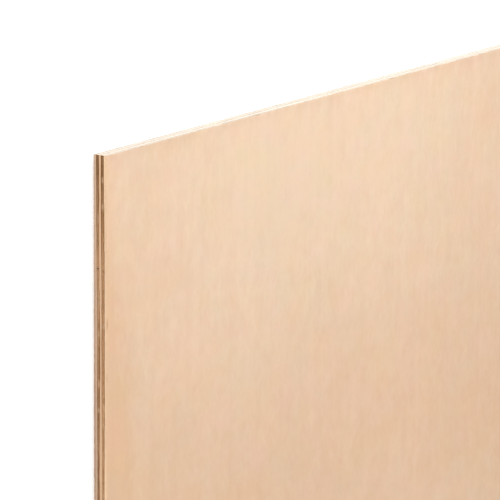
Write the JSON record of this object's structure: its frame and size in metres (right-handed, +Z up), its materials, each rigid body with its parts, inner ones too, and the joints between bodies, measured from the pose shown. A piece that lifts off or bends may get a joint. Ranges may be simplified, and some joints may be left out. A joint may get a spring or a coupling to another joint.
{
  "type": "plywood sheet",
  "caption": "Flat rectangular plywood sheet with cross-laid veneers, pale smooth faces and square sawn edges that show the plies.",
  "frame": {"origin": "centre of the underside of the sheet", "axes": "+X across the sheet, +Y along its length and the grain of its faces, +Z up, out of the face veneer"},
  "size_m": [1.22, 2.44, 0.012],
  "materials": {
    "face_wood": "bare veneer, smoothly sanded, grain along the sheet",
    "back_wood": "bare veneer, smoothly sanded, grain along the sheet",
    "crossband_wood": "bare veneer, sawn, grain across the sheet",
    "centre_wood": "bare veneer, sawn, grain along the sheet"
  },
  "bodies": {
    "root": {"back_veneer": "back_wood", "back_crossband": "crossband_wood", "centre_ply": "centre_wood", "face_crossband": "crossband_wood", "face_veneer": "face_wood"}
  },
  "joints": []
}
